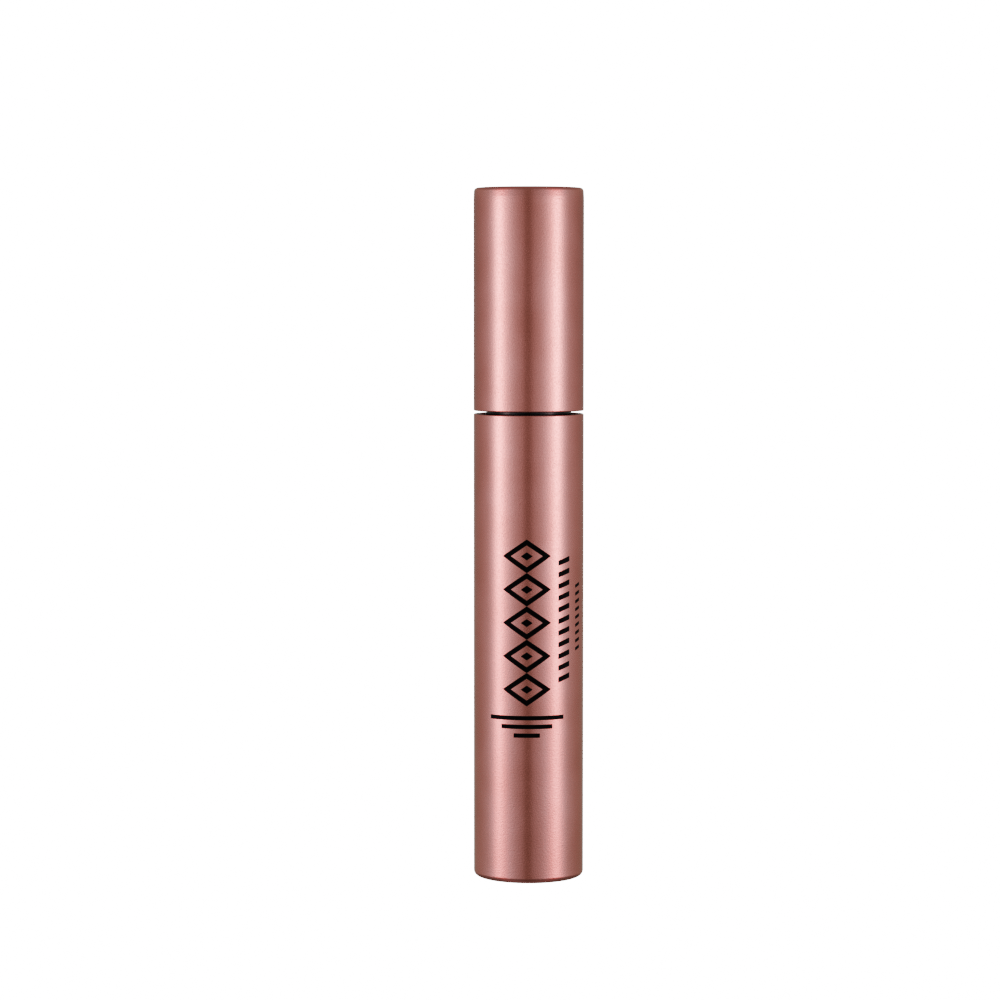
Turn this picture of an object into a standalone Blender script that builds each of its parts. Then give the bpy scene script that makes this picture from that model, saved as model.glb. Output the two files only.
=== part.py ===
"""A slim round mascara tube, closed: the bottle stands on its base and the applicator cap is screwed on.

Metres, +Z up. The origin is the centre of the base, and every piece is turned about the Z axis.
The bottle is a metallised shell round a plain vial with a threaded neck. The applicator is a shell
round an inner cap, which holds the rod and the moulded brush that hang down into the vial.
"""

import math

import bmesh
import bpy

MM = 0.001

# Outer shells
TUBE_RADIUS = 9.5 * MM
BOTTLE_HEIGHT = 80.25 * MM
CAP_HEIGHT = 38.25 * MM
PARTING_GAP = 0.5 * MM
SHELL_WALL = 1.2 * MM
BASE_THICKNESS = 1.2 * MM
CAP_TOP_THICKNESS = 1.3 * MM
BASE_EDGE_RADIUS = 0.6 * MM
TOP_EDGE_RADIUS = 0.9 * MM
RIM_EDGE_RADIUS = 0.2 * MM

# Base label, in a shallow recess inside the foot ring
FOOT_RING_WIDTH = 2.5 * MM
RECESS_DEPTH = 0.35 * MM
LABEL_MARGIN = 0.75 * MM
LABEL_THICKNESS = 0.1 * MM

# Clearances: FIT between pieces fixed to each other, RUN between pieces that pass each other
FIT = 0.05 * MM
RUN = 0.15 * MM

# Wand: the rod and its moulded brush
ROD_RADIUS = 2.775 * MM
ROD_PLUG_LENGTH = 9.5 * MM
ROD_CHAMFER = 0.35 * MM
BEAD_HEIGHT = 0.2 * MM
BEAD_WIDTH = 1.0 * MM
BEAD_FROM_TOP = 2.4 * MM
SOCKET_RADIUS = 1.6 * MM
SOCKET_DEPTH = 8.0 * MM
BRUSH_LENGTH = 28.5 * MM
BRUSH_TIP_CLEARANCE = 2.35 * MM
BRUSH_NECK_LENGTH = 1.4 * MM
BRUSH_NECK_RADIUS = 2.2 * MM
BRUSH_CORE_RADIUS = 1.0 * MM
SLEEVE_RADIUS = 2.2 * MM
SLEEVE_TIP_THICKNESS = 1.0 * MM
BRISTLE_LENGTH = 1.75 * MM
BRISTLE_PITCH = 0.68 * MM
BRISTLE_TIP_SHARE = 0.3
BRISTLE_COLUMNS = 14

# Vial, neck and wiper
VIAL_WALL = 1.0 * MM
SHOULDER_THICKNESS = 1.0 * MM
NECK_WALL = 1.15 * MM
NECK_HEIGHT = 15.0 * MM
WIPER_WALL = 0.5 * MM
WIPER_FLANGE = 0.6 * MM
WIPER_DEPTH = 11.0 * MM
WIPER_CONE = 4.0 * MM
WIPER_LIP = 0.4 * MM
PASTE_DEPTH = 57.0 * MM
PASTE_FLOOR = 1.8 * MM

# Thread
THREAD_PITCH = 2.5 * MM
THREAD_TURNS = 1.5
THREAD_START = 7.0 * MM
NECK_RIDGE = 0.65 * MM
CAP_RIDGE = 0.35 * MM
THREAD_FADE_TURNS = 0.12
THREAD_END_SHARE = 0.4

# Collar in the mouth of the bottle
MOUTH_DROP = 0.2 * MM
COLLAR_FLANGE = 1.2 * MM
COLLAR_HEIGHT = 2.0 * MM
COLLAR_STEP = 1.5 * MM
COLLAR_CHAMFER = 0.25 * MM

# Seal and inner cap
SEAL_THICKNESS = 0.8 * MM
SEAL_OVERLAP = 0.2 * MM
WEB_THICKNESS = 1.5 * MM
BOSS_WALL = 1.6 * MM
BOSS_END = 1.0 * MM
INNER_WALL_RISE = 12.0 * MM
COLLAR_CLEARANCE = 0.6 * MM
RIB_COUNT = 4
RIB_THICKNESS = 1.0 * MM
RIB_BITE = 0.2 * MM

SHELL_SEGMENTS = 48
INNER_SEGMENTS = 32
EDGE_STEPS = 4
RIM_STEPS = 2
THREAD_STEPS_PER_TURN = 18
MERGE_DISTANCE = 0.001 * MM
SHARP_ANGLE = math.radians(32)

# Heights that follow from the sizes above
vial_floor = BASE_THICKNESS + FIT + VIAL_WALL
shoulder_top = BOTTLE_HEIGHT - MOUTH_DROP - COLLAR_FLANGE - FIT
neck_top = BOTTLE_HEIGHT + NECK_HEIGHT
wiper_top = neck_top + FIT + WIPER_FLANGE
seal_top = wiper_top + FIT + SEAL_THICKNESS
web_bottom = seal_top + FIT
web_top = web_bottom + WEB_THICKNESS
cap_lip = BOTTLE_HEIGHT + PARTING_GAP
cap_top = cap_lip + CAP_HEIGHT
cap_ceiling = cap_top - CAP_TOP_THICKNESS
inner_cap_lip = BOTTLE_HEIGHT + COLLAR_HEIGHT + COLLAR_CLEARANCE
rod_top = web_bottom + ROD_PLUG_LENGTH
brush_tip = vial_floor + BRUSH_TIP_CLEARANCE
brush_base = brush_tip + BRUSH_LENGTH
rod_bottom = brush_base + BRUSH_NECK_LENGTH

# Radii that follow: outwards from the brush to the thread, and inwards from the shell
bristle_radius = SLEEVE_RADIUS + BRISTLE_LENGTH
wiper_bore = bristle_radius + RUN
neck_bore = wiper_bore + WIPER_WALL + FIT
neck_radius = neck_bore + NECK_WALL
thread_crest = neck_radius + NECK_RIDGE
inner_cap_bore = thread_crest + RUN + CAP_RIDGE
shell_bore = TUBE_RADIUS - SHELL_WALL
lining_radius = shell_bore - FIT


def clear_scene():
    for obj in list(bpy.data.objects):
        bpy.data.objects.remove(obj)


def new_collection(name):
    collection = bpy.data.collections.new(name)
    bpy.context.scene.collection.children.link(collection)
    return collection


def plastic(name, colour, roughness, metallic=0.0):
    """A Principled BSDF material in one linear RGB colour."""
    material = bpy.data.materials.new(name)
    material.use_nodes = True
    material.diffuse_color = (*colour, 1.0)
    shader = material.node_tree.nodes["Principled BSDF"]
    shader.inputs["Base Color"].default_value = (*colour, 1.0)
    shader.inputs["Roughness"].default_value = roughness
    shader.inputs["Metallic"].default_value = metallic
    return material


def corner(radius, height, edge, start_degrees, end_degrees, steps=EDGE_STEPS):
    """Points (radius, height) of a round corner about its own centre, from one angle to another."""
    points = []
    for step in range(steps + 1):
        angle = math.radians(start_degrees + (end_degrees - start_degrees) * step / steps)
        points.append((radius + edge * math.cos(angle), height + edge * math.sin(angle)))
    return points


def turned(name, profile, material, parent, segments=SHELL_SEGMENTS):
    """Turns a profile of (radius, height) points about Z, as a closed loop if it misses the axis."""
    mesh = bpy.data.meshes.new(name)
    edges = [(i, i + 1) for i in range(len(profile) - 1)]
    if profile[0][0] > 0:
        edges.append((len(profile) - 1, 0))
    mesh.from_pydata([(radius, 0.0, height) for radius, height in profile], edges, [])
    mesh.materials.append(material)
    obj = bpy.data.objects.new(name, mesh)
    parts.objects.link(obj)
    obj.parent = parent
    screw = obj.modifiers.new("Turn", "SCREW")
    screw.axis = "Z"
    screw.steps = segments
    screw.render_steps = segments
    screw.use_merge_vertices = True
    screw.merge_threshold = MERGE_DISTANCE
    return obj


def body(name):
    """An empty on the tube's axis, which carries the pieces that move together."""
    empty = bpy.data.objects.new(name, None)
    parts.objects.link(empty)
    return empty


def as_cutter(obj):
    for collection in list(obj.users_collection):
        collection.objects.unlink(obj)
    cutters.objects.link(obj)
    obj.hide_render = True
    obj.display_type = "WIRE"


def join(obj, helper):
    """Unites a piece with a helper solid, which stays behind as a hidden guide."""
    as_cutter(helper)
    union = obj.modifiers.new("Join " + helper.name, "BOOLEAN")
    union.operation = "UNION"
    union.solver = "EXACT"
    union.object = helper


def thread_ridge(name, radius, ridge, start):
    """A round ridge along a helix, with both ends fading out, as a closed mesh."""
    curve = bpy.data.curves.new(name, "CURVE")
    curve.dimensions = "3D"
    curve.bevel_depth = ridge
    curve.bevel_resolution = 2
    curve.use_fill_caps = True
    spline = curve.splines.new("POLY")
    steps = round(THREAD_TURNS * THREAD_STEPS_PER_TURN)
    spline.points.add(steps)
    for step, point in enumerate(spline.points):
        turns = THREAD_TURNS * step / steps
        from_end = min(turns, THREAD_TURNS - turns)
        angle = math.tau * turns
        point.co = (
            radius * math.cos(angle),
            radius * math.sin(angle),
            start + turns * THREAD_PITCH,
            1.0,
        )
        faded = THREAD_END_SHARE + (1 - THREAD_END_SHARE) * from_end / THREAD_FADE_TURNS
        point.radius = min(1.0, faded)
    route = bpy.data.objects.new(name + "_route", curve)
    parts.objects.link(route)
    graph = bpy.context.evaluated_depsgraph_get()
    mesh = bpy.data.meshes.new_from_object(route.evaluated_get(graph))
    bpy.data.objects.remove(route)
    bm = bmesh.new()
    bm.from_mesh(mesh)
    bmesh.ops.remove_doubles(bm, verts=bm.verts, dist=MERGE_DISTANCE)
    bmesh.ops.recalc_face_normals(bm, faces=bm.faces)
    bm.to_mesh(mesh)
    bm.free()
    mesh.name = name
    obj = bpy.data.objects.new(name, mesh)
    parts.objects.link(obj)
    return obj


def rib(name, inner, outer, bottom, top, angle):
    """An upright radial plate between two radii and two heights."""
    bpy.ops.mesh.primitive_cube_add(size=1.0)
    obj = bpy.context.active_object
    obj.name = name
    obj.scale = (outer - inner, RIB_THICKNESS, top - bottom)
    middle = (inner + outer) / 2
    obj.location = (middle * math.cos(angle), middle * math.sin(angle), (bottom + top) / 2)
    obj.rotation_euler.z = angle
    return obj


def bottle_shell(parent):
    """Outer shell of the bottle: an open cup with a soft base edge and a recess underneath."""
    recess = TUBE_RADIUS - FOOT_RING_WIDTH
    edge = RIM_EDGE_RADIUS
    profile = [(0.0, BASE_THICKNESS), (shell_bore, BASE_THICKNESS)]
    profile += corner(shell_bore + edge, BOTTLE_HEIGHT - edge, edge, 180, 90, RIM_STEPS)
    profile += corner(TUBE_RADIUS - edge, BOTTLE_HEIGHT - edge, edge, 90, 0, RIM_STEPS)
    profile += corner(TUBE_RADIUS - BASE_EDGE_RADIUS, BASE_EDGE_RADIUS, BASE_EDGE_RADIUS, 0, -90)
    profile += [(recess, 0.0), (recess, RECESS_DEPTH), (0.0, RECESS_DEPTH)]
    return turned("bottle_shell", profile, rose_metallised, parent)


def cap_shell(parent):
    """Outer shell of the cap: a cup upside down, with a thin bright lip."""
    edge = RIM_EDGE_RADIUS
    profile = [(0.0, cap_top)]
    profile += corner(TUBE_RADIUS - TOP_EDGE_RADIUS, cap_top - TOP_EDGE_RADIUS, TOP_EDGE_RADIUS, 90, 0)
    profile += corner(TUBE_RADIUS - edge, cap_lip + edge, edge, 0, -90, RIM_STEPS)
    profile += corner(shell_bore + edge, cap_lip + edge, edge, -90, -180, RIM_STEPS)
    profile += [(shell_bore, cap_ceiling), (0.0, cap_ceiling)]
    return turned("cap_shell", profile, rose_metallised, parent)


def inner_vial(parent):
    """Vial that holds the paste, with its shoulder and threaded neck."""
    bore = lining_radius - VIAL_WALL
    profile = [
        (0.0, vial_floor),
        (bore, vial_floor),
        (bore, shoulder_top - SHOULDER_THICKNESS),
        (neck_bore, shoulder_top - SHOULDER_THICKNESS),
        (neck_bore, neck_top),
        (neck_radius, neck_top),
        (neck_radius, shoulder_top),
        (lining_radius, shoulder_top),
        (lining_radius, vial_floor - VIAL_WALL),
        (0.0, vial_floor - VIAL_WALL),
    ]
    vial = turned("inner_vial", profile, black_gloss, parent)
    start = BOTTLE_HEIGHT + THREAD_START
    join(vial, thread_ridge("neck_thread", neck_radius, NECK_RIDGE, start))
    return vial


def neck_collar(parent):
    """Black collar that closes the mouth of the shell and shows in the gap under the cap."""
    inner = neck_radius + FIT
    outer = neck_radius + COLLAR_STEP
    flange_bottom = shoulder_top + FIT
    flange_top = flange_bottom + COLLAR_FLANGE
    top = BOTTLE_HEIGHT + COLLAR_HEIGHT
    profile = [
        (inner, top),
        (outer - COLLAR_CHAMFER, top),
        (outer, top - COLLAR_CHAMFER),
        (outer, flange_top),
        (lining_radius, flange_top),
        (lining_radius, flange_bottom),
        (inner, flange_bottom),
    ]
    return turned("neck_collar", profile, black_gloss, parent)


def wiper(parent):
    """Soft sleeve pressed into the neck, with a flange on top and a cone down to the wiping lip."""
    sleeve = wiper_bore + WIPER_WALL
    lip_bore = ROD_RADIUS + FIT
    sleeve_bottom = neck_top - WIPER_DEPTH + WIPER_CONE
    lip_bottom = neck_top - WIPER_DEPTH
    profile = [
        (wiper_bore, wiper_top),
        (neck_radius, wiper_top),
        (neck_radius, neck_top + FIT),
        (sleeve, neck_top + FIT),
        (sleeve, sleeve_bottom),
        (lip_bore + WIPER_LIP, lip_bottom),
        (lip_bore, lip_bottom),
        (lip_bore, lip_bottom + WIPER_LIP),
        (wiper_bore, sleeve_bottom),
    ]
    return turned("wiper", profile, black_rubber, parent, INNER_SEGMENTS)


def mascara_paste(parent):
    """The paste in the vial, a cup that leaves the brush its own room."""
    outer = lining_radius - VIAL_WALL - FIT
    inner = bristle_radius + RUN
    bottom = vial_floor + FIT
    profile = [
        (0.0, bottom + PASTE_FLOOR),
        (inner, bottom + PASTE_FLOOR),
        (inner, bottom + PASTE_DEPTH),
        (outer, bottom + PASTE_DEPTH),
        (outer, bottom),
        (0.0, bottom),
    ]
    return turned("mascara_paste", profile, black_paste, parent, INNER_SEGMENTS)


def base_label(parent):
    """Plain round label stuck in the recess of the base."""
    radius = TUBE_RADIUS - FOOT_RING_WIDTH - LABEL_MARGIN
    top = RECESS_DEPTH - FIT
    profile = [
        (0.0, top),
        (radius, top),
        (radius, top - LABEL_THICKNESS),
        (0.0, top - LABEL_THICKNESS),
    ]
    return turned("base_label", profile, label_paper, parent, INNER_SEGMENTS)


def seal_washer(parent):
    """Loose sealing washer on the rod, between the wiper's flange and the inner cap."""
    inner = ROD_RADIUS + RUN
    outer = neck_radius + SEAL_OVERLAP
    bottom = seal_top - SEAL_THICKNESS
    profile = [(inner, seal_top), (outer, seal_top), (outer, bottom), (inner, bottom)]
    return turned("seal_washer", profile, pale_foam, parent, INNER_SEGMENTS)


def inner_cap(parent):
    """Threaded inner cap with a web, a boss for the rod and ribs between the boss and its wall."""
    hole = ROD_RADIUS + FIT
    groove = hole + BEAD_HEIGHT
    groove_middle = rod_top - BEAD_FROM_TOP
    boss = hole + BOSS_WALL
    bore_top = rod_top + FIT
    wall_inside = inner_cap_bore
    wall_top = web_top + INNER_WALL_RISE
    profile = [
        (0.0, bore_top + BOSS_END),
        (hole, bore_top + BOSS_END),
        (hole, cap_ceiling - FIT),
        (boss, cap_ceiling - FIT),
        (boss, web_top),
        (wall_inside, web_top),
        (wall_inside, wall_top),
        (lining_radius, wall_top),
        (lining_radius, inner_cap_lip),
        (inner_cap_bore, inner_cap_lip),
        (inner_cap_bore, web_bottom),
        (hole, web_bottom),
        (hole, groove_middle - BEAD_WIDTH / 2),
        (groove, groove_middle),
        (hole, groove_middle + BEAD_WIDTH / 2),
        (hole, bore_top),
        (0.0, bore_top),
    ]
    cap = turned("inner_cap", profile, black_gloss, parent)
    start = BOTTLE_HEIGHT + THREAD_START - THREAD_PITCH / 2
    join(cap, thread_ridge("cap_thread", inner_cap_bore, CAP_RIDGE, start))
    for number in range(RIB_COUNT):
        angle = math.tau * (number + 0.5) / RIB_COUNT
        inner = boss - RIB_BITE
        outer = wall_inside + RIB_BITE
        join(cap, rib(f"cap_rib_{number}", inner, outer, web_top - RIB_BITE, wall_top - RIB_BITE, angle))
    return cap


def wand_rod(parent):
    """Rod from the inner cap down to the brush, with a snap bead at the top and a socket below."""
    bead_middle = rod_top - BEAD_FROM_TOP
    profile = [
        (0.0, rod_top),
        (ROD_RADIUS - ROD_CHAMFER, rod_top),
        (ROD_RADIUS, rod_top - ROD_CHAMFER),
        (ROD_RADIUS, bead_middle + BEAD_WIDTH / 2),
        (ROD_RADIUS + BEAD_HEIGHT, bead_middle),
        (ROD_RADIUS, bead_middle - BEAD_WIDTH / 2),
        (ROD_RADIUS, rod_bottom + ROD_CHAMFER),
        (ROD_RADIUS - ROD_CHAMFER, rod_bottom),
        (SOCKET_RADIUS, rod_bottom),
        (SOCKET_RADIUS, rod_bottom + SOCKET_DEPTH),
        (0.0, rod_bottom + SOCKET_DEPTH),
    ]
    return turned("wand_rod", profile, black_gloss, parent, INNER_SEGMENTS)


def brush_core(parent):
    """Stiff core of the brush: a shank in the rod's socket, a neck, and a spine inside the bristles."""
    shank = SOCKET_RADIUS - FIT
    shank_top = rod_bottom + SOCKET_DEPTH - FIT
    neck_ring_top = rod_bottom - FIT
    neck_ring_bottom = brush_base + FIT
    spine_bottom = brush_tip + SLEEVE_TIP_THICKNESS + FIT
    profile = [
        (0.0, shank_top),
        (shank, shank_top),
        (shank, neck_ring_top),
        (BRUSH_NECK_RADIUS, neck_ring_top),
        (BRUSH_NECK_RADIUS, neck_ring_bottom),
        (BRUSH_CORE_RADIUS, neck_ring_bottom),
        (BRUSH_CORE_RADIUS, spine_bottom),
        (0.0, spine_bottom),
    ]
    return turned("brush_core", profile, black_gloss, parent, INNER_SEGMENTS)


def bristle_sleeve(parent):
    """Elastomer sleeve with rows of tapered spikes, every other cell of its grid drawn out."""
    tip_round = SLEEVE_RADIUS / 2
    rows = math.floor((BRUSH_LENGTH - tip_round) / BRISTLE_PITCH)
    bore = BRUSH_CORE_RADIUS + FIT
    profile = [(0.0, brush_tip + SLEEVE_TIP_THICKNESS), (bore, brush_tip + SLEEVE_TIP_THICKNESS)]
    profile += [(bore, brush_base)]
    profile += [(SLEEVE_RADIUS, brush_base - row * BRISTLE_PITCH) for row in range(rows + 1)]
    profile += corner(SLEEVE_RADIUS - tip_round, brush_tip + tip_round, tip_round, 0, -90, RIM_STEPS)[1:]
    profile += [(0.0, brush_tip)]
    sleeve = turned("bristle_sleeve", profile, black_rubber, parent, BRISTLE_COLUMNS)
    bake(sleeve)
    bm = bmesh.new()
    bm.from_mesh(sleeve.data)
    chosen = []
    for face in bm.faces:
        on_wall = all(abs(math.hypot(v.co.x, v.co.y) - SLEEVE_RADIUS) < FIT / 2 for v in face.verts)
        centre = face.calc_center_median()
        column = math.floor(math.atan2(centre.y, centre.x) / math.tau * BRISTLE_COLUMNS)
        row = math.floor((brush_base - centre.z) / BRISTLE_PITCH)
        if on_wall and row < rows and (row + column) % 2 == 0:
            chosen.append(face)
    for face in bmesh.ops.extrude_discrete_faces(bm, faces=chosen)["faces"]:
        centre = face.calc_center_median()
        outward = centre.copy()
        outward.z = 0.0
        outward.normalize()
        for vertex in face.verts:
            drawn_in = centre + (vertex.co - centre) * BRISTLE_TIP_SHARE
            vertex.co = drawn_in + outward * (bristle_radius - outward.dot(drawn_in))
    bm.to_mesh(sleeve.data)
    bm.free()
    return sleeve


def bake(obj):
    """Applies an object's modifiers, then shades it smooth with its real edges kept sharp."""
    graph = bpy.context.evaluated_depsgraph_get()
    mesh = bpy.data.meshes.new_from_object(obj.evaluated_get(graph))
    obj.modifiers.clear()
    obj.data = mesh
    mesh.name = obj.name
    mesh.shade_smooth()
    mesh.set_sharp_from_angle(angle=SHARP_ANGLE)


clear_scene()
parts = new_collection("mascara_tube")
cutters = new_collection("helpers")
cutters.hide_render = True

rose_metallised = plastic("rose_metallised_lacquer", (0.42, 0.14, 0.11), 0.28, 1.0)
black_gloss = plastic("black_moulded_plastic", (0.012, 0.011, 0.012), 0.3)
black_rubber = plastic("black_elastomer", (0.015, 0.014, 0.014), 0.6)
black_paste = plastic("black_paste", (0.006, 0.006, 0.006), 0.35)
pale_foam = plastic("pale_foam_plastic", (0.75, 0.74, 0.72), 0.7)
label_paper = plastic("label_film", (0.62, 0.56, 0.54), 0.5)

bottle_body = body("bottle_body")
seal_body = body("seal_body")
applicator_body = body("applicator_body")

bottle_shell(bottle_body)
inner_vial(bottle_body)
neck_collar(bottle_body)
wiper(bottle_body)
mascara_paste(bottle_body)
base_label(bottle_body)
seal_washer(seal_body)
cap_shell(applicator_body)
inner_cap(applicator_body)
wand_rod(applicator_body)
brush_core(applicator_body)
bristle_sleeve(applicator_body)

for piece in parts.objects:
    if piece.type == "MESH" and piece.modifiers:
        bake(piece)
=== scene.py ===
import math

import bpy
import numpy as np
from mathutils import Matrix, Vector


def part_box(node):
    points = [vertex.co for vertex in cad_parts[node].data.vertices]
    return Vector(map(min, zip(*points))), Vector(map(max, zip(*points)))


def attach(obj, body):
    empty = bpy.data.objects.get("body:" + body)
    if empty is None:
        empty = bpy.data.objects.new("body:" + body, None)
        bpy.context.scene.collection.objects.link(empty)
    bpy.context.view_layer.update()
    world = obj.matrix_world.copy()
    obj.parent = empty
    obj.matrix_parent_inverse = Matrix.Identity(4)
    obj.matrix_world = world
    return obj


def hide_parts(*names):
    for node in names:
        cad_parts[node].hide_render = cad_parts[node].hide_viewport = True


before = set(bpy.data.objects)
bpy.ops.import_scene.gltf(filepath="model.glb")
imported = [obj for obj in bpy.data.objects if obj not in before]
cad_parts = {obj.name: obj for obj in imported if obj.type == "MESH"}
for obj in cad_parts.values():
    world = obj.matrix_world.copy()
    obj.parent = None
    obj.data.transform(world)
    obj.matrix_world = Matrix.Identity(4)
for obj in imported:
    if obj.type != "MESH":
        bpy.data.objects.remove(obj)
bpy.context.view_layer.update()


# ---- Bottle shell ------------------------------------------------------------------------------
# The straight outer tube of the bottle, injection moulded in ABS with a closed base. It is vacuum
# metallised and sprayed with a rose-tinted satin lacquer, which stops at the bare bright edge of
# the mouth. The base has a shallow recess for the label, so the tube stands on a narrow foot ring.

MM = 0.001
FULL_TURN = 2 * math.pi
TURNING_SIDES = 256
ARC_STEP = math.radians(9)
ROSE_LACQUER = "#eb9b95"
ROSE_LACQUER_DEEP = "#e3938b"
ROSE_AT_THE_RIM = "#f0d2ce"
BARE_METALLISING = "#d9d4da"

SHELL_WALL = 1.2
BASE_THICKNESS = 1.2
BASE_EDGE = 0.9
MOUTH_EDGE = 0.2
BARE_LIP_DEPTH = 0.06
LACQUER_OVER_LIP = 0.14
RECESS_RADIUS = 7.0
RECESS_DEPTH = 0.35
FIT = 0.05


def node_box(name):
    """Lowest and highest corners of a node of the frame, in mm."""
    return [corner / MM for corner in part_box(name)]


shell_high = node_box("bottle_shell")[1]
TUBE_RADIUS = shell_high.x
BOTTLE_TOP = shell_high.z
SHELL_BORE = TUBE_RADIUS - SHELL_WALL


def rounded(corners, closed=False):
    """The outline of a turned piece in mm, from corners (radius, height, rounding).

    A rounding is an arc tangent to both runs at its corner. It starts rounding / tan(h) before the
    corner, where h is half the angle between the runs, and its centre lies rounding / sin(h) from
    the corner on the line that halves that angle.
    """
    places = np.array([corner[:2] for corner in corners], float)
    points = []
    for i, (radius, height, rounding) in enumerate(corners):
        if rounding == 0:
            points.append(places[i])
            continue
        back = places[i - 1] - places[i]
        ahead = places[(i + 1) % len(corners)] - places[i]
        back, ahead = back / np.hypot(*back), ahead / np.hypot(*ahead)
        half = math.acos(np.clip(back @ ahead, -1, 1)) / 2
        middle = (back + ahead) / np.hypot(*(back + ahead))
        centre = places[i] + middle * rounding / math.sin(half)
        first = places[i] + back * rounding / math.tan(half) - centre
        last = places[i] + ahead * rounding / math.tan(half) - centre
        sweep = math.copysign(math.pi - 2 * half, first[0] * last[1] - first[1] * last[0])
        turns = np.linspace(0, sweep, max(2, math.ceil(abs(sweep) / ARC_STEP)) + 1)
        points.extend(
            centre + first * math.cos(turn) + np.array((-first[1], first[0])) * math.sin(turn)
            for turn in turns
        )
    return divided(np.array(points), closed)


def divided(points, closed, longest=2.5, guard=0.06):
    """The outline with its long runs divided.

    A point is added close to each end of a run, so that smooth shading stays inside the roundings,
    and evenly between them, no further apart than longest.
    """
    ends = np.roll(points, -1, axis=0) if closed else points[1:]
    runs = []
    for start, end in zip(points, ends):
        length = np.hypot(*(end - start))
        shares = np.array([0.0])
        if length > 4 * guard:
            inner = np.linspace(guard, length - guard, max(2, math.ceil(length / longest) + 1))
            shares = np.concatenate((shares, inner / length))
        runs.append(start + shares[:, None] * (end - start))
    if not closed:
        runs.append(points[-1:])
    return np.concatenate(runs)


def turned_faces(rows, sides, closed, starts_on_axis, ends_on_axis):
    """Faces between the rings of a turned surface, with a fan of triangles to a pole at an axis."""
    ring = np.arange(rows * sides).reshape(rows, sides)
    upper = ring if closed else ring[:-1]
    lower = np.roll(ring, -1, axis=0) if closed else ring[1:]
    corners = (upper, lower, np.roll(lower, -1, axis=1), np.roll(upper, -1, axis=1))
    faces = np.stack(corners, axis=-1).reshape(-1, 4).tolist()
    pole = rows * sides
    if starts_on_axis:
        fan = (np.full(sides, pole), ring[0], np.roll(ring[0], -1))
        faces += np.stack(fan, axis=-1).tolist()
        pole += 1
    if ends_on_axis:
        fan = (np.full(sides, pole), np.roll(ring[-1], -1), ring[-1])
        faces += np.stack(fan, axis=-1).tolist()
    return faces


def turned(outline, closed=False, swell=None, sides=TURNING_SIDES):
    """Points and faces of a turned piece, in mm.

    The point at angle a and outline point (r, z) is (q cos a, q sin a, z), where q is r plus
    swell(a, r, z). The outline runs down the outer side, so the faces look outwards, and where it
    starts or ends on the axis its ring is one pole.
    """
    radius, height = outline.T
    off_axis = radius > 0
    ring_radius, ring_height = radius[off_axis, None], height[off_axis, None]
    angle = np.linspace(0, FULL_TURN, sides, endpoint=False)[None, :]
    reach = ring_radius + (0 if swell is None else swell(angle, ring_radius, ring_height))
    grid = np.stack(np.broadcast_arrays(
        reach * np.cos(angle), reach * np.sin(angle), ring_height), axis=-1)
    poles = [(0, 0, height[end]) for end in (0, -1) if not off_axis[end]]
    points = np.concatenate((grid.reshape(-1, 3), np.array(poles).reshape(-1, 3)))
    faces = turned_faces(len(grid), sides, closed, not off_axis[0], not off_axis[-1])
    return points, faces


def new_piece(name, points, faces, body, sharp=math.radians(40)):
    """A named mesh object with its points given in mm, shaded smooth up to the sharp angle, that
    rides on a body of the frame."""
    mesh = bpy.data.meshes.new(name)
    mesh.from_pydata((np.asarray(points) * MM).tolist(), [], faces)
    mesh.update()
    mesh.shade_smooth()
    mesh.set_sharp_from_angle(angle=sharp)
    piece = bpy.data.objects.new(name, mesh)
    bpy.context.scene.collection.objects.link(piece)
    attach(piece, body)
    return piece


def face_places(piece):
    """Radius and height of the middle of each face, in mm."""
    centres = np.empty(len(piece.data.polygons) * 3)
    piece.data.polygons.foreach_get("center", centres)
    x, y, z = centres.reshape(-1, 3).T / MM
    return np.hypot(x, y), z


def linear(code):
    """Linear colour of an sRGB hex value: a channel c becomes ((c + 0.055) / 1.055) to the power
    2.4, or c / 12.92 where it is dark."""
    c = np.array([int(code[i:i + 2], 16) for i in (1, 3, 5)]) / 255
    return (*np.where(c > 0.04045, ((c + 0.055) / 1.055) ** 2.4, c / 12.92).tolist(), 1.0)


def add_node(tree, kind, inputs=(), **settings):
    """One more shader node. settings are the node's own, and inputs are its sockets' values by name
    or number, where a socket of another node, or the node itself for its first one, makes a link."""
    node = tree.nodes.new("ShaderNode" + kind)
    for setting, value in settings.items():
        setattr(node, setting, value)
    for socket, value in dict(inputs).items():
        if isinstance(value, bpy.types.Node):
            value = value.outputs[0]
        if isinstance(value, bpy.types.NodeSocket):
            tree.links.new(value, node.inputs[socket])
        else:
            node.inputs[socket].default_value = value
    return node


def start_material(name):
    """An empty material, its node tree, and the place on the piece in millimetres for its patterns."""
    material = bpy.data.materials.new(name)
    material.use_nodes = True
    tree = material.node_tree
    tree.nodes.clear()
    metres = add_node(tree, "TexCoord").outputs["Object"]
    place = add_node(tree, "Mapping", {"Vector": metres, "Scale": (1 / MM, 1 / MM, 1 / MM)})
    return material, tree, place


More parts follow.
